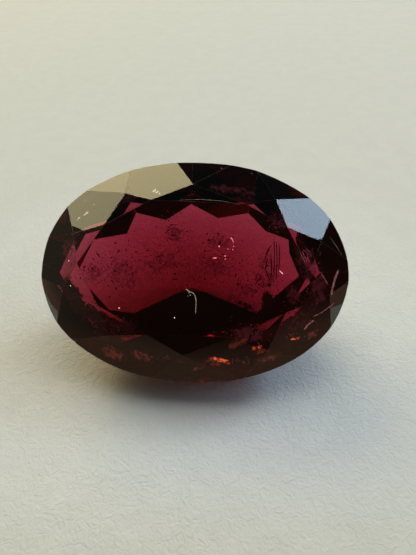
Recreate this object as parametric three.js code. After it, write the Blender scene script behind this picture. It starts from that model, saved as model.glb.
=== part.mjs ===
// An oval faceted tourmaline, one solid crystal, in millimetres with +Z up.
// It is cut in its own frame: the table faces +Z, X runs along the oval's length, and the girdle's upper edge is at
// height 0. Then it is turned to lie on one pavilion facet, with the table leaning towards -Y.
// The origin is the middle of the footprint box, on the surface that the stone lies on.

import * as THREE from "three";

// Girdle: the oval outline and the unpolished band round it
const LENGTH = 14.0;
const WIDTH = 10.18;
const FULLNESS = 2.09; // 2 is a plain ellipse, a little more fills out its four shoulders
const GIRDLE_SIDES = 72;
const GIRDLE_THICKNESS = 0.35;

// Crown: ten main facets, ten star facets at the table and ten girdle facets
const CROWN_HEIGHT = 1.26;
const FOLDS = 10;
const FOLD_ANGLE = 360 / FOLDS;
const CROWN_GIRDLE_SPAN = 10; // half of the outline, in degrees, that a crown girdle facet covers

// Tips of the main facets on the table's edge: x, y. The first is at the +X end, and they go anticlockwise.
const TABLE_CORNERS = [
  [5.1, -0.2],
  [4.1, 1.7],
  [2.25, 2.7],
  [-1.9, 2.75],
  [-3.9, 1.55],
  [-4.95, -0.2],
  [-3.9, -2.0],
  [-1.7, -3.15],
  [1.95, -3.1],
  [4.1, -2.0],
];

// Corners between neighbouring main facets: x, y, height. The first lies between the first two main facets.
const CROWN_CORNERS = [
  [5.65, 1.25, 0.75],
  [3.6, 3.05, 0.94],
  [-0.1, 3.65, 0.93],
  [-3.15, 3.15, 0.87],
  [-5.35, 1.2, 0.9],
  [-5.55, -1.25, 0.95],
  [-3.4, -3.25, 0.88],
  [-0.15, -3.95, 1.0],
  [3.35, -3.7, 0.72],
  [6.0, -1.1, 0.82],
];

// Pavilion: ten lower facets round the culet, and ten steeper ones between them and the girdle
const CULET = [-0.28, -0.3, -5.66];
const CULET_WEAR = 0.12; // how much of the point is rubbed off
const CULET_WEAR_SLOPE = 12; // how far, in degrees, the rubbed face leans towards -Y
const PAVILION_GIRDLE_SPAN = 12; // half of the outline, in degrees, that sets a pavilion girdle facet

// Where each steep facet meets the girdle: the angle of its middle, as on an ellipse. It was cut by hand and eye.
const PAVILION_GIRDLE_ANGLES = [23, 55, 79, 105, 138, 160, 198, 238, 290, 340];

// Lower tips of the steep facets, where two lower facets meet one steep facet: x, y, height
const PAVILION_CORNERS = [
  [4.52, 1.15, -3.12],
  [3.37, 2.17, -2.95],
  [1.02, 2.77, -3.03],
  [-1.56, 2.61, -3.16],
  [-3.45, 1.83, -3.15],
  [-5.25, 0.42, -2.6],
  [-5.03, -0.97, -3.12],
  [-3.05, -1.95, -4.58],
  [3.23, -1.77, -4.59],
  [4.46, -0.42, -3.66],
];

// The lower facet that the stone lies on: the one towards -Y. It was ground less deep and ends short of the culet.
const REST_FOLD = 7;
const REST_TIP = [-0.28, -0.56, -5.58];

const ON_PLANE = 1e-7;
const MIDDLE = new THREE.Vector3(0, 0, -0.1);

// A corner written as three numbers
function corner(place) {
  return new THREE.Vector3(...place);
}

// A tip on the table's edge, counted round the stone
function tableCorner(fold) {
  const [x, y] = TABLE_CORNERS[fold % FOLDS];
  return new THREE.Vector3(x, y, CROWN_HEIGHT);
}

// A point of the oval outline at a height, with the angle taken as on an ellipse
function outlinePoint(degrees, height) {
  const angle = THREE.MathUtils.degToRad(degrees);
  const stretch = (value) => Math.sign(value) * Math.abs(value) ** (2 / FULLNESS);
  const x = (LENGTH / 2) * stretch(Math.cos(angle));
  const y = (WIDTH / 2) * stretch(Math.sin(angle));
  return new THREE.Vector3(x, y, height);
}

// The plane through three points, facing away from the stone's middle
function facetPlane(a, b, c) {
  const plane = new THREE.Plane().setFromCoplanarPoints(a, b, c);
  if (plane.distanceToPoint(MIDDLE) > 0) plane.negate();
  return plane;
}

// The rough: a straight prism of the oval outline, as a list of faces with their corners anticlockwise
function roughPrism() {
  const step = 360 / GIRDLE_SIDES;
  const top = [];
  const bottom = [];
  for (let i = 0; i < GIRDLE_SIDES; i += 1) {
    top.push(outlinePoint(i * step, CROWN_HEIGHT));
    bottom.push(outlinePoint(i * step, CULET[2] - 1));
  }
  const faces = [top, [...bottom].reverse()];
  for (let i = 0; i < GIRDLE_SIDES; i += 1) {
    const next = (i + 1) % GIRDLE_SIDES;
    faces.push([bottom[i], bottom[next], top[next], top[i]]);
  }
  return faces;
}

// The part of one face behind the plane. Its corners on the plane are added to the rim.
function trimFace(face, plane, rim) {
  const kept = [];
  face.forEach((here, i) => {
    const next = face[(i + 1) % face.length];
    const above = plane.distanceToPoint(here);
    const aboveNext = plane.distanceToPoint(next);
    if (above < ON_PLANE) kept.push(here);
    if (Math.abs(above) < ON_PLANE) rim.push(here);
    const crosses = Math.abs(above) >= ON_PLANE && Math.abs(aboveNext) >= ON_PLANE && above * aboveNext < 0;
    if (crosses) {
      const meeting = here.clone().lerp(next, above / (above - aboveNext));
      kept.push(meeting);
      rim.push(meeting);
    }
  });
  return kept;
}

// The new flat face that a cut leaves: the rim's corners in order round the plane's normal
function cutFace(rim, plane) {
  const centre = new THREE.Vector3();
  rim.forEach((point) => centre.addScaledVector(point, 1 / rim.length));
  const across = rim[0].clone().sub(centre).normalize();
  const along = new THREE.Vector3().crossVectors(plane.normal, across);
  const angleOf = (point) => {
    const arm = point.clone().sub(centre);
    return Math.atan2(arm.dot(along), arm.dot(across));
  };
  const sorted = [...rim].sort((a, b) => angleOf(a) - angleOf(b));
  return sorted.filter((point, i) => point.distanceTo(sorted[(i + 1) % sorted.length]) > ON_PLANE);
}

// Grinds one flat facet on the stone
function grind(faces, plane) {
  const rim = [];
  const trimmed = faces.map((face) => trimFace(face, plane, rim));
  const kept = trimmed.filter((face) => face.length > 2 && !liesOn(face, plane));
  const facet = rim.length > 2 ? cutFace(rim, plane) : [];
  if (facet.length > 2) kept.push(facet);
  return kept;
}

// Whether a face lies wholly on the plane
function liesOn(face, plane) {
  return face.every((point) => Math.abs(plane.distanceToPoint(point)) < ON_PLANE);
}

// The planes of the crown's facets
function crownPlanes() {
  const planes = [];
  for (let fold = 0; fold < FOLDS; fold += 1) {
    const tip = tableCorner(fold);
    const nextTip = tableCorner(fold + 1);
    const before = corner(CROWN_CORNERS[(fold + FOLDS - 1) % FOLDS]);
    const after = corner(CROWN_CORNERS[fold]);
    const middle = (fold + 0.5) * FOLD_ANGLE;
    const edgeStart = outlinePoint(middle - CROWN_GIRDLE_SPAN, 0);
    const edgeEnd = outlinePoint(middle + CROWN_GIRDLE_SPAN, 0);
    planes.push(facetPlane(tip, before, after));
    planes.push(facetPlane(tip, nextTip, after));
    planes.push(facetPlane(after, edgeStart, edgeEnd));
  }
  return planes;
}

// The plane of the lower pavilion facet between two of its corners
function lowerPlane(fold) {
  const start = corner(PAVILION_CORNERS[fold % FOLDS]);
  const end = corner(PAVILION_CORNERS[(fold + 1) % FOLDS]);
  const tip = corner(fold === REST_FOLD ? REST_TIP : CULET);
  return facetPlane(tip, start, end);
}

// The plane of the small rubbed face at the culet
function culetPlane() {
  const lean = THREE.MathUtils.degToRad(CULET_WEAR_SLOPE);
  const outward = new THREE.Vector3(0, -Math.sin(lean), -Math.cos(lean));
  const centre = corner(CULET).addScaledVector(outward, -CULET_WEAR);
  return new THREE.Plane().setFromNormalAndCoplanarPoint(outward, centre);
}

// The planes of the pavilion's facets
function pavilionPlanes() {
  const planes = [culetPlane()];
  for (let fold = 0; fold < FOLDS; fold += 1) {
    const tip = corner(PAVILION_CORNERS[fold]);
    const middle = PAVILION_GIRDLE_ANGLES[fold];
    const edgeStart = outlinePoint(middle - PAVILION_GIRDLE_SPAN, -GIRDLE_THICKNESS);
    const edgeEnd = outlinePoint(middle + PAVILION_GIRDLE_SPAN, -GIRDLE_THICKNESS);
    planes.push(facetPlane(tip, edgeStart, edgeEnd));
    planes.push(lowerPlane(fold));
  }
  return planes;
}

// The cut stone as a triangle mesh
function stoneGeometry() {
  let faces = roughPrism();
  for (const plane of [...crownPlanes(), ...pavilionPlanes()]) {
    faces = grind(faces, plane);
  }
  const numbers = [];
  for (const face of faces) {
    for (let i = 1; i < face.length - 1; i += 1) {
      for (const point of [face[0], face[i], face[i + 1]]) numbers.push(point.x, point.y, point.z);
    }
  }
  const geometry = new THREE.BufferGeometry();
  geometry.setAttribute("position", new THREE.Float32BufferAttribute(numbers, 3));
  geometry.computeVertexNormals();
  return geometry;
}

// Turns the stone so that its resting facet faces down, and sets it on the surface over the origin
function layDown(mesh) {
  const down = new THREE.Vector3(0, 0, -1);
  mesh.quaternion.setFromUnitVectors(lowerPlane(REST_FOLD).normal, down);
  mesh.updateMatrixWorld(true);
  const box = new THREE.Box3().setFromObject(mesh, true);
  const middle = box.getCenter(new THREE.Vector3());
  mesh.position.set(-middle.x, -middle.y, -box.min.z);
}

const pinkRed = new THREE.MeshStandardMaterial({ color: 0x741c28, roughness: 0.05, metalness: 0 });
const stone = new THREE.Mesh(stoneGeometry(), pinkRed);
stone.name = "stone";
layDown(stone);

const gemstone = new THREE.Group();
gemstone.name = "tourmaline_gemstone";
gemstone.add(stone);

export default gemstone;
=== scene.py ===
"""A loose oval tourmaline lying on a sheet of pale paper, lit from behind by two windows."""

import math
import random

import bpy
from bpy.props import FloatProperty, FloatVectorProperty, IntProperty, PointerProperty
from mathutils import Matrix, Vector


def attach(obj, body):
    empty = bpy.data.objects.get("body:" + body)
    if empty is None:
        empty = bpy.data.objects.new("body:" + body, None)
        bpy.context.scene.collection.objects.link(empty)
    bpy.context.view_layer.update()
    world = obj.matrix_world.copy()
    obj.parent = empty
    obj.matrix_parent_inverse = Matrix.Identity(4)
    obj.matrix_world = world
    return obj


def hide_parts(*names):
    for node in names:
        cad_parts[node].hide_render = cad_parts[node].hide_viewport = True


bl_info = {
    "name": "Tourmaline on Paper",
    "version": (1, 0, 0),
    "blender": (4, 5, 0),
    "location": "View3D > Sidebar > Gemstone",
    "description": "Finishes a cut tourmaline, what is sealed in it, and the paper it lies on",
    "category": "Object",
}

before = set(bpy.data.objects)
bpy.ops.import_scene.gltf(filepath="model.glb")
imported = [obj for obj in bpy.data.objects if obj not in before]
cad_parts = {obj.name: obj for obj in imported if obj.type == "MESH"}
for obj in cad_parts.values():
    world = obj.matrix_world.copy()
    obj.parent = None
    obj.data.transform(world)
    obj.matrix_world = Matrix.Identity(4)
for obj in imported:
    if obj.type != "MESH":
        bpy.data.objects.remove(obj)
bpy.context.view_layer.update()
MM = 0.001

# Places in the stone, and the camera's, are in mm from the middle of the table:
# along the oval, across it, and below the table.

# The camera: its place, the way it looks and the way its top points
CAMERA_PLACE = (1.627, -3.828, -20.317)
CAMERA_LOOK = (-0.0471, 0.1649, -0.9852)
CAMERA_UP = (-0.0373, 0.9853, 0.1667)
# Its focal length and the photo's height in pixels, and the length of its sensor in mm
FOCAL_PIXELS = 483.34
PHOTO_HEIGHT = 555
SENSOR_LENGTH = 36.0

# The lights hang round the stone at this distance, and point at its middle
LIGHT_DISTANCE = 0.4
STONE_MIDDLE = (0, 0, 3 * MM)

# The card of painted reflection: how far in front of the stone it stands, its size, and its flaps
CARD_DISTANCE = 10 * MM
CARD_WIDTH = 34 * MM
CARD_HEIGHT = 60 * MM
CARD_LIFT = 0.1 * MM
SIDE_FLAP = 18 * MM
FOOT_FLAP = 5.2 * MM
# In metres: where the card's painted reflection turns grey towards the left, and where its lighter foot
# ends
CARD_LEFT = (-0.010, -0.017)
CARD_FOOT = (0.0012, 0.0030)

# In metres: where the paper's relief fades and where painted shade darkens it, both counted from its
# middle, and where a warm painted shade tints it towards the front
RELIEF_FADES = (0.007, 0.020)
PAPER_DARKENS = (0.006, 0.018)
PAPER_WARMS = (-0.007, -0.013)
# The paper's colour is multiplied by these where its pulp is thinnest and thickest
PULP_TONES = (0.93, 1.03)

# A face smaller than this, after the edges are worn, is part of a worn edge
WORN_FACE_AREA = 0.25 * MM * MM

# Specks: a full turn and the largest tilt in radians, then sizes, stretches and added depths from and to
FULL_TURN = 6.28
LARGEST_TILT = 0.7
SPOT_FLATNESS = 0.6
DARK_SIZES = (0.5, 1.6)
DARK_STRETCHES = (0.8, 1.5)
DARK_DEPTHS = (-0.3, 0.3)
PALE_SIZES = (0.4, 1.3)
PALE_STRETCHES = (1.0, 3.0)
PALE_DEPTHS = (0, 0.4)
GUEST_FLATNESS = 0.7
LUMP_UNEVENNESS = 0.35
# Stains: length, width and thickness as parts of the radius, and how they turn and tilt in radians
STAIN_SHAPE = (1.5, 0.7, 0.25)
STAIN_TURN = 0.6
STAIN_TILT = -0.35

# Strands: sides, how thin the tips are, and how many steps round off each stretch
STRAND_SIDES = 6
STRAND_TIP = 0.3
CURVE_STEPS = 3
SWIRL_THINNESS = 0.75
HAIR_RADIUS = 0.012 * MM
SCRATCH_RADIUS = 0.008 * MM
FIBRE_RADIUS = 0.016 * MM

# Veils: squares along and across, unevenness, thickness in mm, and how far they face up and outwards
VEIL_SQUARES = (12, 8)
VEIL_CRINKLE = 0.07
VEIL_THICKNESS = 0.01
VEIL_UP = 0.87
VEIL_OUT = 0.5
# Squares of the oval's half length and half width, which tell what way is outwards at a place
OVAL_SQUARES = (49, 26)

# Dark spots that stand out: along, across, below, radius
SPOTS = (
    (-3.67, 1.16, 1.57, 0.05), (-3.5, 0.79, 1.57, 0.06), (-2.75, 0.83, 1.97, 0.04),
    (-2.1, 0.76, 2.37, 0.05), (-1.73, 0.7, 2.37, 0.05), (-3.12, 0.21, 1.97, 0.06),
    (-4.66, -0.22, 1.18, 0.04), (-3.6, -0.13, 1.57, 0.06), (-3.25, -0.81, 1.97, 0.05),
    (-3.86, -0.8, 1.58, 0.04), (-3.49, -0.9, 1.58, 0.04), (-3.72, -1.33, 1.38, 0.04),
    (-4.26, -1.41, 0.98, 0.05), (-2.04, 0.2, 2.18, 0.04), (-0.95, -0.06, 2.58, 0.05),
    (0.45, -0.26, 2.39, 0.04), (0.46, 1.79, 1.97, 0.05), (0.55, 1.51, 1.98, 0.06),
    (0.97, 1.81, 1.98, 0.06), (1.07, 1.45, 2.37, 0.08), (0.39, 1.05, 2.38, 0.05),
    (3.21, 0.33, 1.39, 0.06), (3.31, -0.54, 1.19, 0.09), (2.88, -0.49, 1.39, 0.05),
    (2.96, -0.26, 1.39, 0.04), (1.84, -0.11, 1.99, 0.06), (1.96, -0.47, 1.99, 0.07),
    (2.15, -0.64, 1.99, 0.05), (2.07, -1.35, 1.6, 0.09), (2.3, -1.39, 1.6, 0.1),
    (2.52, -1.53, 1.4, 0.07), (2.34, -1.58, 1.4, 0.08),
)
# Swarms of pinpoints: along, across, below, half length, half width, number
SWARMS = (
    (-4.6, -0.3, 0.9, 0.7, 0.6, 110), (-3.3, 0.2, 1.7, 1.5, 1.3, 190), (-1.2, 0.3, 2.3, 1.6, 1.2, 150),
    (-1.0, 1.7, 1.8, 0.7, 0.6, 120), (1.0, 0.9, 2.1, 1.6, 1.1, 140), (2.9, -0.4, 1.4, 0.9, 0.9, 180),
    (3.6, -1.2, 1.2, 0.5, 0.5, 120), (3.3, -1.3, 1.3, 0.25, 0.35, 90), (2.4, -1.5, 1.5, 0.35, 0.18, 90),
)
# Dark growth tubes, each a run of places
TUBES = (
    ((3.48, 1.58, 1.18), (3.52, 0.68, 1.19), (3.51, -0.31, 1.19)),
    ((3.37, 0.85, 1.19), (3.4, 0.22, 1.19), (3.39, -0.36, 1.19)),
    ((3.59, 1.45, 1.18), (3.64, 0.5, 1.19), (3.61, -0.26, 1.19)),
    ((3.7, 1.35, 1.09), (3.74, 0.67, 1.09), (3.71, 0.04, 1.09)),
    ((3.4, 1.28, 1.28), (3.23, 1.04, 1.29), (3.13, 0.77, 1.29)),
    ((3.32, 1.09, 1.29), (3.17, 0.86, 1.29), (3.09, 0.49, 1.29)),
    ((3.24, 0.68, 1.29), (3.16, 0.41, 1.29), (3.15, 0.14, 1.29)),
    ((3.0, -0.14, 1.29), (2.83, -0.32, 1.29), (2.75, -0.51, 1.29)),
    ((3.17, 0.14, 1.29), (3.26, -0.13, 1.29), (3.36, -0.35, 1.29)),
    ((-4.49, 0.64, 1.37), (-4.4, 0.56, 1.37), (-4.3, 0.46, 1.37)),
    ((-3.75, -0.55, 1.58), (-3.63, -0.64, 1.58)),
    ((-1.04, -0.34, 2.18), (-0.77, -0.35, 2.18)),
)
# Fine dark arcs of a swirl
SWIRL = (
    ((-1.33, 1.98, 1.77), (-1.11, 2.15, 1.77), (-0.79, 2.14, 1.77)),
    ((-1.41, 1.74, 1.77), (-1.24, 1.93, 1.77), (-0.87, 1.99, 1.77)),
    ((-1.3, 1.51, 1.77), (-1.02, 1.43, 1.78), (-0.67, 1.58, 1.78)),
    ((-1.18, 1.7, 1.77), (-0.94, 1.62, 1.77), (-0.72, 1.76, 1.77)),
    ((-0.96, 1.9, 1.77), (-0.77, 1.86, 1.77), (-0.59, 1.96, 1.77)),
)
# Guest crystals, bright with a painted glow: along, across, below, half length, half width
CRYSTALS = (
    (1.04, 1.23, 1.98, 0.045, 0.035), (1.44, 1.12, 1.98, 0.035, 0.014),
    (1.66, 1.11, 1.98, 0.03, 0.02), (1.71, 1.25, 1.98, 0.02, 0.03),
    (0.85, 0.71, 2.18, 0.14, 0.02), (1.33, 0.82, 2.18, 0.03, 0.03),
    (1.34, 0.68, 2.18, 0.03, 0.02), (-0.75, -2.15, 1.0, 0.025, 0.03),
    (-3.18, -1.84, 0.79, 0.04, 0.018), (-5.5, 0.17, 0.72, 0.025, 0.025),
    (-5.36, -0.92, 0.65, 0.022, 0.022), (1.05, 0.74, 2.18, 0.02, 0.015),
)
# Hairs, bright with a painted glow, each a run of places
BRIGHT_HAIRS = (
    ((1.54, 1.66, 1.98), (1.64, 1.57, 1.98), (1.69, 1.41, 1.98)),
    ((3.76, 0.12, 1.19), (3.83, 0.05, 1.19), (3.91, -0.03, 1.19)),
)
# Healed cracks near the surface, with a dim painted pink glow, each a run of places, and their radii
CRACKS = (
    ((6.34, 0.28, 1.01), (6.15, -0.16, 0.85), (5.99, -0.68, 0.72), (5.93, -0.87, 0.70)),
    ((5.39, 0.07, 0.75), (5.58, -0.18, 0.85), (5.74, -0.42, 0.92)),
    ((5.18, -1.73, 1.1), (5.5, -1.58, 1.15), (5.8, -1.35, 1.2), (6.08, -1.1, 1.2)),
    ((4.82, -2.32, 1.23), (4.98, -2.1, 1.19), (5.24, -1.87, 1.2)),
    ((4.59, 0.91, 0.59), (4.67, 0.74, 0.64), (4.76, 0.56, 0.64)),
    ((4.63, 0.97, 0.67), (4.81, 0.85, 0.71), (4.9, 0.63, 0.7)),
    ((4.77, 1.03, 0.73), (4.95, 0.91, 0.78), (5.04, 0.69, 0.77)),
    ((4.63, 0.69, 0.59), (4.76, 0.56, 0.59), (4.81, 0.43, 0.59)),
)
CRACK_RADII = (0.05, 0.02, 0.02, 0.045, 0.012, 0.012, 0.012, 0.012)
# Cracks at the front with a painted orange glow, which stands in for the light they catch:
# along, across, below, half length, half width, turn in degrees
FLASHES = (
    (1.45, -3.80, 1.08, 0.66, 0.16, -15), (2.85, -3.17, 0.95, 0.34, 0.12, 8),
    (4.45, -2.70, 1.30, 0.36, 0.07, 10),
)
# Duller cracks, half hidden, with a dim painted glow: the same columns
EMBERS = (
    (-3.4, -3.66, 1.34, 1.00, 0.42, -14), (-2.1, -3.75, 1.1, 0.70, 0.30, -20),
    (2.0, -3.0, 0.75, 0.60, 0.30, 20), (3.35, -3.56, 1.25, 0.75, 0.20, 12),
    (0.45, -4.1, 1.1, 0.45, 0.15, 30), (1.2, -3.85, 1.1, 0.80, 0.30, -6),
    (5.2, -2.5, 1.45, 0.5, 0.25, 30), (2.9, -3.3, 1.0, 0.6, 0.2, 8),
)
# Faint mottled veils in the dark ends, with a dim painted red glow: the same columns
VEILS = (
    (4.75, 0.55, 0.85, 0.55, 1.10, 10), (5.35, -0.5, 0.95, 0.60, 0.90, 0),
    (4.55, -1.9, 1.1, 0.90, 0.60, 25), (2.6, -2.65, 0.95, 1.30, 0.40, 5),
    (-5.6, 0.9, 1.25, 0.60, 0.90, -15), (-3.8, -2.5, 1.1, 1.10, 0.50, -15),
    (1.5, 3.6, 1.1, 1.60, 0.35, -5), (3.7, 2.3, 1.0, 0.70, 0.60, -30),
    (4.3, -0.85, 1.1, 0.45, 0.55, 0),
)
# Thin dark clouds under the table, and thick dark films of painted shade over the ends: the same columns
CLOUDS = (
    (-1.05, 1.80, 1.85, 0.55, 0.50, 20), (-3.3, -0.2, 1.75, 1.30, 1.00, -20),
    (1.05, 1.50, 2.1, 0.60, 0.50, 0), (3.2, 0.1, 1.35, 0.75, 1.20, 0),
    (-4.5, -0.3, 1.1, 0.60, 0.50, 0), (2.1, -0.9, 1.8, 0.90, 0.50, 20),
    (-1.6, 0.5, 2.5, 1.30, 0.80, 10), (0.8, 0.4, 2.5, 1.10, 0.70, -10),
)
SHADES = (
    (-5.1, -1.45, 1.1, 0.95, 0.42, -50), (-4.1, -2.10, 1.0, 0.95, 0.36, -32),
    (-3.1, -2.50, 0.9, 0.80, 0.28, -14), (-3.6, -2.90, 1.0, 0.80, 0.30, -15),
    (4.3, -2.00, 1.05, 0.95, 0.36, 35), (4.9, -1.35, 1.1, 0.75, 0.36, 55),
    (3.6, -2.45, 1.0, 0.70, 0.25, 20), (3.25, -1.15, 1.4, 0.24, 0.42, 8),
    (4.0, 2.75, 0.85, 0.60, 0.30, -30), (-3.1, 3.05, 0.65, 0.70, 0.25, 25),
    (4.55, 1.2, 1.0, 0.22, 0.8, 10),
)
# Swarms of faint pale specks in the dark parts, with a dim painted glow:
# along, across, below, half length, half width, number
PALE_SWARMS = (
    (5.03, 0.65, 0.96, 0.5, 0.8, 60), (4.9, -0.45, 0.95, 0.6, 0.7, 50), (4.5, -1.8, 1.15, 0.7, 0.5, 60),
    (2.5, -2.6, 1.0, 1.3, 0.4, 80), (4.2, -2.55, 1.3, 0.6, 0.3, 40), (-5.7, 0.8, 1.3, 0.4, 0.8, 40),
    (1.6, 3.6, 1.2, 1.6, 0.25, 40), (-3.5, -2.4, 1.1, 0.9, 0.4, 30), (-0.9, 2.6, 1.5, 0.6, 0.3, 16),
    (3.5, 2.1, 1.0, 0.4, 0.4, 30), (-1.3, -3.7, 1.2, 1.2, 0.15, 30), (2.1, -3.7, 1.2, 1.2, 0.15, 50),
)
# Stains and pits on the bright facets, with a painted pale glow; the last three are pale specks that paint
# the glints of chips at the girdle: along, across, below, radius
STAINS = (
    (-5.04, 2.42, 0.637, 0.09), (-5.12, 2.36, 0.637, 0.05), (-5.37, 2.2, 0.664, 0.06),
    (-5.44, 2.1, 0.664, 0.03), (-4.75, 2.88, 0.726, 0.04), (-5.25, 3.15, 1.008, 0.03),
    (-4.97, 3.31, 0.973, 0.03), (-1.96, 3.47, 0.319, 0.09), (-1.82, 3.4, 0.26, 0.08),
    (-1.7, 3.3, 0.2, 0.05), (-5.25, -3.36, 1.27, 0.05), (1.0, 4.93, 1.28, 0.03),
    (2.4, 4.72, 1.28, 0.025),
)
# Scratches on the polished faces, with a faint painted glow, each a run of places
SCRATCHES = (
    ((-0.82, 2.97, 0.014), (0.15, 3.05, 0.046), (1.12, 3.0, 0.035), (1.91, 2.85, -0.004)),
    ((0.77, 3.76, 0.373), (0.94, 3.42, 0.196)),
    ((2.25, 3.29, 0.239), (2.52, 3.11, 0.161)),
    ((5.99, 1.77, 0.918), (6.28, 1.39, 1.002), (6.56, 1.0, 1.087)),
)
# The dust fibre on the table, and the dust at its end, with a faint painted glow: along, across, below,
# radius
FIBRE = (
    (-0.26, -0.96, -0.02), (-0.13, -1.06, -0.05), (0.09, -1.16, -0.06), (0.19, -1.41, -0.05),
    (0.2, -1.71, -0.04), (0.2, -2.01, -0.02),
)
DUST = ((-0.12, -1.12, -0.02, 0.03), (-0.06, -1.22, -0.02, 0.025), (-0.16, -1.26, -0.02, 0.02))


class StoneLook(bpy.types.PropertyGroup):
    edge_width: FloatProperty(
        name="Edge Width", description="How far the facet edges are worn back",
        default=0.025 * MM, unit="LENGTH")
    ior: FloatProperty(name="IOR", description="Refractive index of the crystal", default=1.63)
    kept: FloatVectorProperty(
        name="Light Kept", description="Red, green and blue that the crystal lets through best",
        subtype="COLOR", size=3, default=(0.722, 0.067, 0.267))
    colour_depth: FloatProperty(name="Depth of Colour", description="Absorption per metre", default=900.0)
    pinpoint: FloatProperty(
        name="Pinpoint Size", description="Radius of a common pinpoint", default=0.019 * MM, unit="LENGTH")
    tube: FloatProperty(
        name="Tube Radius", description="Radius of a growth tube", default=0.023 * MM, unit="LENGTH")
    seed: IntProperty(name="Seed", description="Seed of the scattered specks", default=7)


class PaperLook(bpy.types.PropertyGroup):
    size: FloatProperty(
        name="Sheet Size", description="Length of the paper's sides", default=0.3, unit="LENGTH")
    colour: FloatVectorProperty(
        name="Paper Colour", description="The paper's even colour",
        subtype="COLOR", size=3, default=(0.82, 0.80, 0.74))
    relief: FloatProperty(
        name="Fibre Relief", description="Height of the paper's fibres", default=0.07 * MM, unit="LENGTH")


class WindowLight(bpy.types.PropertyGroup):
    warm_power: FloatProperty(
        name="Warm Window", description="Radiance of the window behind the stone's left", default=4.1)
    side_power: FloatProperty(
        name="Side Window", description="Radiance of the warm window's dimmer side", default=2.9)
    cool_power: FloatProperty(
        name="Cool Window", description="Radiance of the window behind the stone's right", default=5.4)
    sky_power: FloatProperty(
        name="Overhead", description="Radiance of the soft light overhead", default=1.7)
    cool_side: FloatProperty(
        name="Cool Side", description="Radiance of the soft blue light on the right", default=2.0)
    warm_side: FloatProperty(
        name="Warm Side", description="Radiance of the soft yellow light on the left", default=0.25)
    room: FloatProperty(name="Room", description="Radiance of the dim room", default=0.03)


def look():
    return bpy.context.scene.gem_stone


def paper_look():
    return bpy.context.scene.gem_paper


def light_look():
    return bpy.context.scene.gem_light


def deselect_all():
    if bpy.context.mode != "OBJECT":
        bpy.ops.object.mode_set(mode="OBJECT")
    bpy.ops.object.select_all(action="DESELECT")


def take(piece):
    """Makes a piece the only selected one."""
    deselect_all()
    piece.select_set(True)
    bpy.context.view_layer.objects.active = piece


def table_frame():
    """The matrix from places measured at the table to the stone as it lies."""
    faces = bpy.data.objects["cut_crystal"].data.polygons
    table = max(faces, key=lambda face: face.area)
    turn = Vector((0, 0, 1)).rotation_difference(table.normal)
    return Matrix.Translation(table.center) @ turn.to_matrix().to_4x4()


def place(spot):
    """A place given as along, across and below in mm, in the table's frame."""
    return Vector((spot[0], spot[1], -spot[2])) * MM


def new_material(name):
    material = bpy.data.materials.new(name)
    material.use_nodes = True
    nodes = material.node_tree.nodes
    nodes.clear()
    output = nodes.new("ShaderNodeOutputMaterial")
    return material, nodes, material.node_tree.links, output


def new_group(name, inputs, outputs):
    """A shader node group with its inputs and outputs: pairs of a name and a socket type."""
    group = bpy.data.node_groups.new(name, "ShaderNodeTree")
    for label, kind in inputs:
        group.interface.new_socket(label, in_out="INPUT", socket_type=kind)
    for label, kind in outputs:
        group.interface.new_socket(label, in_out="OUTPUT", socket_type=kind)
    start = group.nodes.new("NodeGroupInput")
    end = group.nodes.new("NodeGroupOutput")
    return group, group.nodes, group.links, start, end


def noise(nodes, links, vector, scale, detail=2.0, distortion=0.0):
    texture = nodes.new("ShaderNodeTexNoise")
    texture.inputs["Scale"].default_value = scale
    texture.inputs["Detail"].default_value = detail
    texture.inputs["Distortion"].default_value = distortion
    links.new(vector, texture.inputs["Vector"])
    return texture.outputs["Fac"]


def span(nodes, links, value, low, high, to_low, to_high):
    """Maps a value from one range to another, held at the ends."""
    mapping = nodes.new("ShaderNodeMapRange")
    mapping.inputs["From Min"].default_value = low
    mapping.inputs["From Max"].default_value = high
    mapping.inputs["To Min"].default_value = to_low
    mapping.inputs["To Max"].default_value = to_high
    links.new(value, mapping.inputs["Value"])
    return mapping.outputs["Result"]


def scaled(nodes, links, value, factor, addend=None):
    """A value times a factor, plus another value where one is given."""
    node = nodes.new("ShaderNodeMath")
    node.operation = "MULTIPLY_ADD"
    node.inputs[1].default_value = factor
    node.inputs[2].default_value = 0.0
    links.new(value, node.inputs[0])
    if addend is not None:
        links.new(addend, node.inputs[2])
    return node.outputs["Value"]


def mixed(nodes, links, amount, first, second, blend="MIX"):
    """Two colours mixed by an amount. A colour is three numbers or a socket."""
    node = nodes.new("ShaderNodeMixRGB")
    node.blend_type = blend
    links.new(amount, node.inputs["Fac"])
    for label, colour in (("Color1", first), ("Color2", second)):
        if isinstance(colour, tuple):
            node.inputs[label].default_value = (*colour, 1)
        else:
            links.new(colour, node.inputs[label])
    return node.outputs["Color"]


def ramped(nodes, links, value, low, high, dim, bright):
    """A colour that runs from dim to bright while the value runs from low to high."""
    ramp = nodes.new("ShaderNodeValToRGB")
    ramp.color_ramp.elements[0].position = low
    ramp.color_ramp.elements[0].color = (*dim, 1)
    ramp.color_ramp.elements[1].position = high
    ramp.color_ramp.elements[1].color = (*bright, 1)
    links.new(value, ramp.inputs["Fac"])
    return ramp.outputs["Color"]


def bump(nodes, links, height, depth):
    relief = nodes.new("ShaderNodeBump")
    relief.inputs["Strength"].default_value = 1.0
    relief.inputs["Distance"].default_value = depth
    links.new(height, relief.inputs["Height"])
    return relief.outputs["Normal"]


def polish_group():
    """Faint polishing waves: a normal, and a mask of where the polish is poorer."""
    results = [("Normal", "NodeSocketVector"), ("Poor Polish", "NodeSocketFloat")]
    group, nodes, links, start, end = new_group("polish", [("Place", "NodeSocketVector")], results)
    waves = noise(nodes, links, start.outputs["Place"], 900.0, 3.0, 0.4)
    fine = noise(nodes, links, start.outputs["Place"], 9000.0, 2.0)
    poor = span(nodes, links, fine, 0.66, 0.74, 0.0, 1.0)
    links.new(bump(nodes, links, waves, 0.0012 * MM), end.inputs["Normal"])
    links.new(poor, end.inputs["Poor Polish"])
    return group


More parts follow.
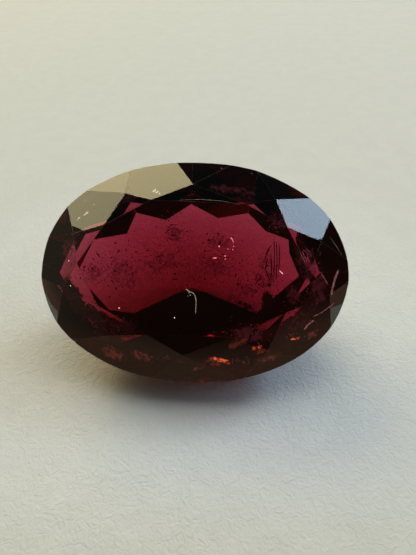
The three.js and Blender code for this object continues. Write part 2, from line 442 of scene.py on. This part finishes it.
def tourmaline_material():
    material, nodes, links, output = new_material("tourmaline")
    crystal = nodes.new("ShaderNodeBsdfPrincipled")
    crystal.inputs["Base Color"].default_value = (1, 1, 1, 1)
    crystal.inputs["IOR"].default_value = look().ior
    crystal.inputs["Transmission Weight"].default_value = 1.0
    links.new(crystal.outputs["BSDF"], output.inputs["Surface"])
    place_node = nodes.new("ShaderNodeTexCoord")
    polish = nodes.new("ShaderNodeGroup")
    polish.node_tree = polish_group()
    links.new(place_node.outputs["Object"], polish.inputs["Place"])
    links.new(polish.outputs["Normal"], crystal.inputs["Normal"])
    worn = nodes.new("ShaderNodeAttribute")
    worn.attribute_name = "wear"
    pits = scaled(nodes, links, polish.outputs["Poor Polish"], 0.015)
    scuffed = scaled(nodes, links, worn.outputs["Fac"], 0.35, pits)
    links.new(scuffed, crystal.inputs["Roughness"])
    colour = nodes.new("ShaderNodeVolumeAbsorption")
    colour.inputs["Color"].default_value = (*look().kept, 1)
    colour.inputs["Density"].default_value = look().colour_depth
    links.new(colour.outputs["Volume"], output.inputs["Volume"])
    return material


def sealed_material(name, dark, light, roughness, painted_glow=0.0):
    """Something sealed in the stone or lying on it, mottled between two colours, with a painted glow where
    one is given.
    """
    material, nodes, links, output = new_material(name)
    surface = nodes.new("ShaderNodeBsdfPrincipled")
    surface.inputs["Roughness"].default_value = roughness
    links.new(surface.outputs["BSDF"], output.inputs["Surface"])
    coordinates = nodes.new("ShaderNodeTexCoord")
    mottle = noise(nodes, links, coordinates.outputs["Object"], 14000.0, 3.0)
    colour = ramped(nodes, links, mottle, 0.35, 0.65, dark, light)
    links.new(colour, surface.inputs["Base Color"])
    links.new(bump(nodes, links, mottle, 0.004 * MM), surface.inputs["Normal"])
    # Painted light: the glow makes the piece bright whatever light reaches it
    if painted_glow:
        links.new(colour, surface.inputs["Emission Color"])
        surface.inputs["Emission Strength"].default_value = painted_glow
    return material


def veil_material(name, dim, bright, cover, clear=0.42, full=0.62):
    """A broken film in the stone: mottled, with a painted glow from dim to bright where it shows, and clear
    between.
    """
    material, nodes, links, output = new_material(name)
    film = nodes.new("ShaderNodeBsdfPrincipled")
    film.inputs["Roughness"].default_value = 0.5
    links.new(film.outputs["BSDF"], output.inputs["Surface"])
    coordinates = nodes.new("ShaderNodeTexCoord")
    mottle = noise(nodes, links, coordinates.outputs["Object"], 3600.0, 6.0, 1.2)
    fade = nodes.new("ShaderNodeAttribute")
    fade.attribute_name = "fade"
    rim = span(nodes, links, fade.outputs["Fac"], 0.0, 0.8, -0.25, 0.05)
    shown = span(nodes, links, scaled(nodes, links, mottle, 1.0, rim), clear, full, 0.0, 1.0)
    # Painted glow: the film lights itself where it shows, rather than catching the light
    links.new(ramped(nodes, links, shown, 0.1, 1.0, dim, bright), film.inputs["Emission Color"])
    film.inputs["Emission Strength"].default_value = 1.0
    film.inputs["Base Color"].default_value = (*dim, 1)
    links.new(scaled(nodes, links, shown, cover), film.inputs["Alpha"])
    links.new(bump(nodes, links, mottle, 0.004 * MM), film.inputs["Normal"])
    return material


def settle(piece, material):
    """Bakes a piece's place into its mesh, gives it its material and hangs it on the stone's body."""
    take(piece)
    bpy.ops.object.transform_apply(location=True, rotation=True, scale=True)
    bpy.ops.object.mode_set(mode="EDIT")
    bpy.ops.mesh.select_all(action="SELECT")
    bpy.ops.mesh.normals_make_consistent(inside=False)
    bpy.ops.object.mode_set(mode="OBJECT")
    piece.data.materials.clear()
    piece.data.materials.append(material)
    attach(piece, "root")


def join(pieces, name):
    deselect_all()
    for piece in pieces:
        piece.select_set(True)
    bpy.context.view_layer.objects.active = pieces[0]
    if len(pieces) > 1:
        bpy.ops.object.join()
    whole = bpy.context.active_object
    whole.name = name
    return whole


def scattered(chance, swarm, depths):
    """A chance place in a swarm, more often near its middle, and deeper by something between two depths."""
    along, across, below, length, width = swarm
    along += chance.gauss(0, 0.5) * length
    across += chance.gauss(0, 0.5) * width
    return along, across, below + chance.uniform(*depths)


def model_speck():
    """An uneven lump with a radius of about one unit."""
    deselect_all()
    bpy.ops.mesh.primitive_ico_sphere_add(subdivisions=1, radius=1.0)
    bpy.ops.object.mode_set(mode="EDIT")
    bpy.ops.mesh.select_all(action="SELECT")
    bpy.ops.transform.vertex_random(offset=LUMP_UNEVENNESS, uniform=1.0, seed=3)
    bpy.ops.object.mode_set(mode="OBJECT")
    return bpy.context.active_object


def copies(model, matrices, name):
    """Copies of a model at their matrices, joined to one piece. The model itself is the first."""
    made = [model]
    for _ in matrices[1:]:
        copy = model.copy()
        copy.data = model.data.copy()
        bpy.context.scene.collection.objects.link(copy)
        made.append(copy)
    for piece, matrix in zip(made, matrices):
        piece.matrix_world = matrix
    deselect_all()
    for piece in made:
        piece.select_set(True)
    bpy.context.view_layer.objects.active = model
    bpy.ops.object.transform_apply(location=True, rotation=True, scale=True)
    return join(made, name)


def strand(run, radius, frame_matrix):
    """A thin closed strand along a run of places, pointed at its ends."""
    points = [frame_matrix @ place(spot) for spot in run]
    step = (points[1] - points[0]).normalized()
    turn = Vector((0, 0, 1)).rotation_difference(step)
    deselect_all()
    bpy.ops.mesh.primitive_circle_add(
        vertices=STRAND_SIDES, radius=radius, fill_type="NGON",
        location=points[0], rotation=turn.to_euler())
    piece = bpy.context.active_object
    bpy.ops.object.transform_apply(location=True, rotation=True, scale=True)
    bpy.ops.object.mode_set(mode="EDIT")
    bpy.ops.mesh.select_all(action="SELECT")
    bpy.ops.transform.resize(value=(STRAND_TIP,) * 3, center_override=points[0])
    thickness = STRAND_TIP
    for index in range(1, len(points)):
        stretch = points[index] - points[index - 1]
        bpy.ops.mesh.extrude_region_move(TRANSFORM_OT_translate={"value": stretch})
        wanted = STRAND_TIP if index == len(points) - 1 else 1.0
        bpy.ops.transform.resize(value=(wanted / thickness,) * 3, center_override=points[index])
        thickness = wanted
    bpy.ops.object.mode_set(mode="OBJECT")
    return piece


def veil(row, frame_matrix):
    """A thin crinkled plate, which leans outwards like the facet above it and fades towards its rim."""
    along, across, below, length, width, turn = row
    deselect_all()
    squares_along, squares_across = VEIL_SQUARES
    bpy.ops.mesh.primitive_grid_add(
        x_subdivisions=squares_along, y_subdivisions=squares_across, size=2.0)
    piece = bpy.context.active_object
    fade = piece.data.attributes.new("fade", "FLOAT", "POINT")
    for vertex in piece.data.vertices:
        fade.data[vertex.index].value = max(0.0, 1 - vertex.co.x ** 2 - vertex.co.y ** 2)
    bpy.ops.object.mode_set(mode="EDIT")
    bpy.ops.mesh.select_all(action="SELECT")
    bpy.ops.transform.vertex_random(offset=VEIL_CRINKLE, uniform=1.0, seed=5)
    bpy.ops.mesh.extrude_region_move(TRANSFORM_OT_translate={"value": (0, 0, VEIL_THICKNESS)})
    bpy.ops.object.mode_set(mode="OBJECT")
    outward = Vector((along / OVAL_SQUARES[0], across / OVAL_SQUARES[1], 0)).normalized()
    facing = Vector((0, 0, VEIL_UP)) + VEIL_OUT * outward
    lean = Vector((0, 0, 1)).rotation_difference(facing).to_matrix().to_4x4()
    spin = Matrix.Rotation(math.radians(turn), 4, "Z")
    size = Matrix.Diagonal((length * MM, width * MM, MM, 1))
    move = Matrix.Translation(place((along, across, below)))
    piece.matrix_world = frame_matrix @ move @ lean @ spin @ size
    return piece


def lay_veils(name, rows, *finish):
    """Makes the veils in the rows one piece, with the finish that veil_material takes."""
    table = table_frame()
    settle(join([veil(row, table) for row in rows], name), veil_material(*finish))


def curved(run):
    """The same run with more places on it, rounded at its bends."""
    points = [Vector(spot) for spot in run]
    rounded = []
    for i in range(len(points) - 1):
        before, start = points[max(0, i - 1)], points[i]
        end, after = points[i + 1], points[min(len(points) - 1, i + 2)]
        square = 2 * before - 5 * start + 4 * end - after
        cube = 3 * start - 3 * end + after - before
        for j in range(CURVE_STEPS):
            t = j / CURVE_STEPS
            rounded.append(0.5 * (2 * start + (end - before) * t + square * t * t + cube * t ** 3))
    rounded.append(points[-1])
    return rounded


class GEM_OT_stone(bpy.types.Operator):
    """Finish the cut crystal: merge it, wear its facet edges a little and give it its clear colour"""

    bl_idname = "gem.stone"
    bl_label = "Cut Crystal"

    def execute(self, context):
        take(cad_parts["stone"])
        bpy.ops.object.duplicate()
        stone = context.active_object
        stone.name = "cut_crystal"
        bpy.ops.object.mode_set(mode="EDIT")
        bpy.ops.mesh.select_all(action="SELECT")
        bpy.ops.mesh.remove_doubles(threshold=0.0005 * MM)
        bpy.ops.mesh.dissolve_limited(angle_limit=math.radians(0.5))
        bpy.ops.mesh.normals_make_consistent(inside=False)
        bpy.ops.object.mode_set(mode="OBJECT")
        for key in list(stone.keys()):
            if key.startswith("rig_"):
                del stone[key]
        stone.parent = None
        stone.data.materials.clear()
        stone.data.materials.append(tourmaline_material())
        worn = stone.modifiers.new("worn edges", "BEVEL")
        worn.width = look().edge_width
        worn.segments = 2
        worn.limit_method = "ANGLE"
        worn.angle_limit = math.radians(4)
        bpy.ops.object.modifier_apply(modifier=worn.name)
        wear = stone.data.attributes.new("wear", "FLOAT", "FACE")
        for face in stone.data.polygons:
            wear.data[face.index].value = 1.0 if face.area < WORN_FACE_AREA else 0.0
        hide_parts("stone")
        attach(stone, "root")
        return {"FINISHED"}


class GEM_OT_specks(bpy.types.Operator):
    """Seal the dark spots and swarms of pinpoints in the crystal"""

    bl_idname = "gem.specks"
    bl_label = "Dark Specks"

    def execute(self, context):
        chance = random.Random(look().seed)
        table = table_frame()
        spots = [(place(spot), spot[3] * MM, SPOT_FLATNESS) for spot in SPOTS]
        for row in SWARMS:
            for _ in range(row[5]):
                spot = scattered(chance, row[:5], DARK_DEPTHS)
                spots.append((place(spot), look().pinpoint * chance.uniform(*DARK_SIZES), 1.0))
        matrices = []
        for spot, radius, flatness in spots:
            spin = Matrix.Rotation(chance.uniform(0, FULL_TURN), 4, "Z")
            turn = spin @ Matrix.Rotation(chance.uniform(0, LARGEST_TILT), 4, "X")
            size = Matrix.Diagonal((radius * chance.uniform(*DARK_STRETCHES), radius, radius * flatness, 1))
            matrices.append(table @ Matrix.Translation(spot) @ turn @ size)
        specks = copies(model_speck(), matrices, "dark_specks")
        settle(specks, sealed_material("dark_speck", (0.012, 0.001, 0.002), (0.05, 0.004, 0.006), 0.6))
        return {"FINISHED"}


class GEM_OT_tubes(bpy.types.Operator):
    """Seal the dark growth tubes and the swirl in the crystal"""

    bl_idname = "gem.tubes"
    bl_label = "Growth Tubes"

    def execute(self, context):
        table = table_frame()
        strands = [strand(curved(run), look().tube, table) for run in TUBES]
        strands += [strand(curved(run), look().tube * SWIRL_THINNESS, table) for run in SWIRL]
        tubes = join(strands, "growth_tubes")
        settle(tubes, sealed_material("dark_tube", (0.015, 0.001, 0.002), (0.06, 0.005, 0.008), 0.5))
        return {"FINISHED"}


class GEM_OT_crystals(bpy.types.Operator):
    """Seal the guest crystals and hairs, bright with a painted glow, in the crystal"""

    bl_idname = "gem.crystals"
    bl_label = "Guest Crystals"

    def execute(self, context):
        table = table_frame()
        matrices = []
        for along, across, below, length, width in CRYSTALS:
            size = Matrix.Diagonal((length * MM, width * MM, width * GUEST_FLATNESS * MM, 1))
            matrices.append(table @ Matrix.Translation(place((along, across, below))) @ size)
        crystals = copies(model_speck(), matrices, "guest_crystals")
        hairs = [strand(curved(run), HAIR_RADIUS, table) for run in BRIGHT_HAIRS]
        crystals = join([crystals, *hairs], "guest_crystals")
        # A strong painted glow makes the crystals and hairs bright
        pale = sealed_material("guest_crystal", (0.8, 0.55, 0.45), (1.0, 0.95, 0.9), 0.25, painted_glow=2.6)
        settle(crystals, pale)
        return {"FINISHED"}


class GEM_OT_cracks(bpy.types.Operator):
    """Seal the healed cracks near the surface in the crystal"""

    bl_idname = "gem.cracks"
    bl_label = "Healed Cracks"

    def execute(self, context):
        table = table_frame()
        strands = [strand(curved(run), radius * MM, table) for run, radius in zip(CRACKS, CRACK_RADII)]
        cracks = join(strands, "healed_cracks")
        # A dim painted pink glow
        pink = sealed_material("healed_crack", (0.20, 0.03, 0.05), (0.75, 0.35, 0.38), 0.4, painted_glow=0.35)
        settle(cracks, pink)
        return {"FINISHED"}


class GEM_OT_flashes(bpy.types.Operator):
    """Seal the cracks, veils and pale specks with painted glow, and the clouds and films of painted shade
    """

    bl_idname = "gem.flashes"
    bl_label = "Flashes and Pale Specks"

    def execute(self, context):
        chance = random.Random(look().seed + 1)
        table = table_frame()
        # Painted orange glow on the flashes and a dimmer one on the embers, standing in for light the
        # cracks catch
        lay_veils("orange_flashes", FLASHES, "flash", (0.10, 0.008, 0.003), (0.95, 0.17, 0.045), 0.9)
        lay_veils("ember_cracks", EMBERS, "ember", (0.02, 0.004, 0.002), (0.10, 0.021, 0.011), 0.5)
        dim = (0.001, 0.0002, 0.0003)
        lay_veils("thin_clouds", CLOUDS, "thin_cloud", dim, (0.004, 0.0005, 0.0008), 0.24)
        # Thick dark films that paint shade over the ends of the stone
        lay_veils("painted_shade_films", SHADES, "painted_shade_film", dim, (0.006, 0.001, 0.0014), 0.93, 0.18, 0.38)
        # A dim painted red glow on the faint veils
        lay_veils("faint_veils", VEILS, "faint_veil", (0.008, 0.001, 0.002), (0.045, 0.009, 0.013), 0.6)
        matrices = []
        for row in PALE_SWARMS:
            for _ in range(row[5]):
                spot = scattered(chance, row[:5], PALE_DEPTHS)
                radius = look().pinpoint * chance.uniform(*PALE_SIZES)
                turn = Matrix.Rotation(chance.uniform(0, FULL_TURN), 4, "Z")
                size = Matrix.Diagonal((radius * chance.uniform(*PALE_STRETCHES), radius, radius, 1))
                matrices.append(table @ Matrix.Translation(place(spot)) @ turn @ size)
        specks = copies(model_speck(), matrices, "pale_specks")
        # A dim painted glow on the pale specks
        dull_pink = sealed_material("pale_speck", (0.05, 0.01, 0.012), (0.55, 0.22, 0.22), 0.5, painted_glow=0.22)
        settle(specks, dull_pink)
        return {"FINISHED"}


class GEM_OT_surface(bpy.types.Operator):
    """Lay the dust on the table and draw the scratches on the polished faces"""

    bl_idname = "gem.surface"
    bl_label = "Dust and Scratches"

    def execute(self, context):
        table = table_frame()
        scratches = join([strand(run, SCRATCH_RADIUS, table) for run in SCRATCHES], "face_scratches")
        # A faint painted glow on the scratches
        settle(scratches, sealed_material("scratch", (0.12, 0.08, 0.06), (0.5, 0.45, 0.4), 0.5, painted_glow=0.15))
        turn = Matrix.Rotation(STAIN_TURN, 4, "Z") @ Matrix.Rotation(STAIN_TILT, 4, "X")
        matrices = []
        for along, across, below, radius in STAINS:
            size = Matrix.Diagonal([radius * part * MM for part in STAIN_SHAPE] + [1])
            matrices.append(table @ Matrix.Translation(place((along, across, below))) @ turn @ size)
        # A painted pale glow on the stains; the last three specks paint glints of chips at the girdle
        stains = copies(model_speck(), matrices, "facet_stains_and_glints")
        settle(stains, sealed_material("stain", (0.45, 0.30, 0.24), (0.85, 0.62, 0.55), 0.6, painted_glow=0.45))
        fibre = strand(curved(FIBRE), FIBRE_RADIUS, table)
        matrices = []
        for along, across, below, radius in DUST:
            size = Matrix.Diagonal([radius * MM] * 3 + [1])
            matrices.append(table @ Matrix.Translation(place((along, across, below))) @ size)
        dust = join([fibre, copies(model_speck(), matrices, "dust")], "dust_fibre")
        # A faint painted glow on the dust
        settle(dust, sealed_material("dust", (0.35, 0.33, 0.12), (0.75, 0.7, 0.5), 0.7, painted_glow=0.12))
        return {"FINISHED"}


def paper_material():
    """Even paper with pulp and fibres, flatter away from the stone, and with painted shade: darker away
    from it, warmer in front.
    """
    material, nodes, links, output = new_material("paper")
    paper = nodes.new("ShaderNodeBsdfPrincipled")
    paper.inputs["Roughness"].default_value = 0.9
    links.new(paper.outputs["BSDF"], output.inputs["Surface"])
    coordinates = nodes.new("ShaderNodeTexCoord")
    spot = coordinates.outputs["Object"]
    fibres = noise(nodes, links, spot, 3200.0, 4.0, 1.6)
    pulp = noise(nodes, links, spot, 700.0, 3.0, 0.6)
    height = scaled(nodes, links, pulp, 0.5, fibres)
    distance = nodes.new("ShaderNodeVectorMath")
    distance.operation = "LENGTH"
    links.new(spot, distance.inputs[0])
    relief = bump(nodes, links, height, paper_look().relief)
    rough = span(nodes, links, distance.outputs["Value"], *RELIEF_FADES, 1.0, 0.35)
    links.new(rough, relief.node.inputs["Strength"])
    links.new(relief, paper.inputs["Normal"])
    tones = [tuple(tone * value for value in paper_look().colour) for tone in PULP_TONES]
    mottled = mixed(nodes, links, pulp, *tones)
    # Painted shade: the paper darkens away from the stone
    far = span(nodes, links, distance.outputs["Value"], *PAPER_DARKENS, 0.0, 1.0)
    painted_falloff_shade = mixed(nodes, links, far, mottled, (0.90, 0.89, 0.86), "MULTIPLY")
    axes = nodes.new("ShaderNodeSeparateXYZ")
    links.new(spot, axes.inputs["Vector"])
    # Painted shade: the paper turns darker and warmer towards the front
    near = span(nodes, links, axes.outputs["Y"], *PAPER_WARMS, 0.0, 1.0)
    painted_front_shade = mixed(nodes, links, near, painted_falloff_shade, (0.90, 0.87, 0.80), "MULTIPLY")
    links.new(painted_front_shade, paper.inputs["Base Color"])
    return material


def direction(azimuth, elevation):
    """The unit vector at an azimuth, counted from +Y towards +X, and an elevation, both in degrees."""
    side, rise = math.radians(azimuth), math.radians(elevation)
    return Vector((math.sin(side) * math.cos(rise), math.cos(side) * math.cos(rise), math.sin(rise)))


def window(name, azimuth, elevation, width, height, radiance, colour):
    """A rectangle of light of an angular width and height, in degrees, that points at the stone."""
    data = bpy.data.lights.new(name, "AREA")
    data.shape = "RECTANGLE"
    data.size = 2 * LIGHT_DISTANCE * math.tan(math.radians(width / 2))
    data.size_y = 2 * LIGHT_DISTANCE * math.tan(math.radians(height / 2))
    data.energy = radiance * math.pi * data.size * data.size_y
    data.color = colour
    lamp = bpy.data.objects.new(name, data)
    bpy.context.scene.collection.objects.link(lamp)
    spot = direction(azimuth, elevation) * LIGHT_DISTANCE
    lamp.location = spot
    lamp.rotation_mode = "QUATERNION"
    lamp.rotation_quaternion = (Vector(STONE_MIDDLE) - spot).to_track_quat("-Z", "Y")
    return lamp


def card_material():
    """A dim brown glow of painted reflection, in patches, greyer towards the left and lighter at the foot.
    """
    material, nodes, links, output = new_material("painted_reflection_card")
    # The card glows: its colours are painted reflection, not lit by the lamps
    card = nodes.new("ShaderNodeEmission")
    links.new(card.outputs["Emission"], output.inputs["Surface"])
    spot = nodes.new("ShaderNodeTexCoord").outputs["Object"]
    patches = noise(nodes, links, spot, 90.0, 2.0)
    brown = mixed(nodes, links, patches, (0.010, 0.003, 0.002), (0.13, 0.05, 0.032))
    axes = nodes.new("ShaderNodeSeparateXYZ")
    links.new(spot, axes.inputs["Vector"])
    left = span(nodes, links, axes.outputs["X"], *CARD_LEFT, 0.0, 1.0)
    sides = mixed(nodes, links, left, brown, (0.16, 0.13, 0.09))
    low = span(nodes, links, axes.outputs["Z"], *CARD_FOOT, 1.0, 0.0)
    links.new(mixed(nodes, links, low, sides, (0.30, 0.17, 0.11)), card.inputs["Color"])
    return material


def fold(card, chosen, shift):
    """Draws a new flap out of the card's edge whose corners are chosen."""
    picked = [chosen(vertex.co) for vertex in card.data.vertices]
    for vertex in card.data.vertices:
        vertex.select = picked[vertex.index]
    for edge in card.data.edges:
        edge.select = all(picked[i] for i in edge.vertices)
    for face in card.data.polygons:
        face.select = False
    bpy.ops.object.mode_set(mode="EDIT")
    bpy.ops.mesh.select_mode(type="EDGE")
    bpy.ops.mesh.extrude_region_move(TRANSFORM_OT_translate={"value": shift})
    bpy.ops.mesh.select_all(action="DESELECT")
    bpy.ops.mesh.select_mode(type="VERT")
    bpy.ops.object.mode_set(mode="OBJECT")


def painted_reflection_card():
    """A card of painted reflection in front, with flaps at its sides and foot, which only mirrors and clear
    stones see.
    """
    deselect_all()
    middle = (0, -CARD_DISTANCE, CARD_LIFT + CARD_HEIGHT / 2)
    bpy.ops.mesh.primitive_plane_add(size=1.0, location=middle, rotation=(math.radians(90), 0, 0))
    card = bpy.context.active_object
    card.name = "painted_reflection_card"
    card.scale = (CARD_WIDTH, CARD_HEIGHT, 1)
    bpy.ops.object.transform_apply(location=True, rotation=True, scale=True)
    fold(card, lambda co: co.x > MM, (0, SIDE_FLAP, 0))
    fold(card, lambda co: co.x < -MM, (0, SIDE_FLAP, 0))
    fold(card, lambda co: co.z < MM and co.y < MM - CARD_DISTANCE, (0, FOOT_FLAP, 0))
    card.data.materials.append(card_material())
    card.visible_camera = False
    card.visible_shadow = False
    card.visible_diffuse = False


class GEM_OT_stage(bpy.types.Operator):
    """Lay the paper, hang the windows and set the camera"""

    bl_idname = "gem.stage"
    bl_label = "Paper, Light and Camera"

    def execute(self, context):
        scene = context.scene
        deselect_all()
        bpy.ops.mesh.primitive_plane_add(size=paper_look().size)
        paper = context.active_object
        paper.name = "paper_sheet"
        paper.data.materials.append(paper_material())
        painted_reflection_card()

        room = bpy.data.worlds.new("room")
        room.use_nodes = True
        room.node_tree.nodes["Background"].inputs["Color"].default_value = (1, 1, 1, 1)
        room.node_tree.nodes["Background"].inputs["Strength"].default_value = light_look().room
        scene.world = room
        window("warm_window", -29.5, 34, 31, 24, light_look().warm_power, (1.0, 0.85, 0.47))
        window("side_window", -55, 34, 20, 24, light_look().side_power, (1.0, 0.87, 0.50))
        window("cool_window", 54, 37, 19, 19, light_look().cool_power, (0.62, 0.80, 1.0))
        helpers = (
            window("overhead", 0, 74, 64, 44, light_look().sky_power, (0.93, 0.985, 0.97)),
            window("cool_side", 80, 40, 50, 30, light_look().cool_side, (0.55, 0.75, 1.0)),
            window("warm_side", -80, 36, 50, 30, light_look().warm_side, (1.0, 0.85, 0.48)),
        )
        for helper in helpers:
            helper.visible_glossy = False
            helper.visible_transmission = False

        data = bpy.data.cameras.new("camera")
        data.sensor_width = SENSOR_LENGTH
        data.lens = FOCAL_PIXELS / PHOTO_HEIGHT * SENSOR_LENGTH
        data.clip_start = MM
        data.clip_end = 10.0
        camera = bpy.data.objects.new("camera", data)
        scene.collection.objects.link(camera)
        forward = Vector(CAMERA_LOOK).normalized()
        right = forward.cross(Vector(CAMERA_UP)).normalized()
        up = right.cross(forward)
        turn = Matrix((right, up, -forward)).transposed().to_4x4()
        camera.matrix_world = table_frame() @ Matrix.Translation(place(CAMERA_PLACE)) @ turn
        scene.camera = camera

        scene.view_settings.view_transform = "Standard"
        cycles = scene.cycles
        cycles.max_bounces = 24
        cycles.transmission_bounces = 20
        cycles.glossy_bounces = 16
        cycles.diffuse_bounces = 4
        cycles.blur_glossy = 0.2
        cycles.use_denoising = True
        return {"FINISHED"}


class GEM_PT_panel(bpy.types.Panel):
    """Lists the gemstone's steps and sizes"""

    bl_idname = "GEM_PT_panel"
    bl_label = "Gemstone"
    bl_space_type = "VIEW_3D"
    bl_region_type = "UI"
    bl_category = "Gemstone"

    def draw(self, context):
        for step in STEPS:
            self.layout.operator(step.bl_idname)
        for name, group in GROUPS:
            settings = getattr(context.scene, name)
            for label in group.__annotations__:
                self.layout.prop(settings, label)


STEPS = (
    GEM_OT_stone, GEM_OT_specks, GEM_OT_tubes, GEM_OT_crystals, GEM_OT_cracks, GEM_OT_flashes,
    GEM_OT_surface, GEM_OT_stage,
)
GROUPS = (("gem_stone", StoneLook), ("gem_paper", PaperLook), ("gem_light", WindowLight))


def register():
    for name, group in GROUPS:
        bpy.utils.register_class(group)
        setattr(bpy.types.Scene, name, PointerProperty(type=group))
    for step in STEPS:
        bpy.utils.register_class(step)
    bpy.utils.register_class(GEM_PT_panel)


def unregister():
    bpy.utils.unregister_class(GEM_PT_panel)
    for step in reversed(STEPS):
        bpy.utils.unregister_class(step)
    for name, group in reversed(GROUPS):
        delattr(bpy.types.Scene, name)
        bpy.utils.unregister_class(group)


def main():
    register()
    bpy.ops.gem.stone()
    bpy.ops.gem.specks()
    bpy.ops.gem.tubes()
    bpy.ops.gem.crystals()
    bpy.ops.gem.cracks()
    bpy.ops.gem.flashes()
    bpy.ops.gem.surface()
    bpy.ops.gem.stage()


if __name__ == "__main__":
    main()
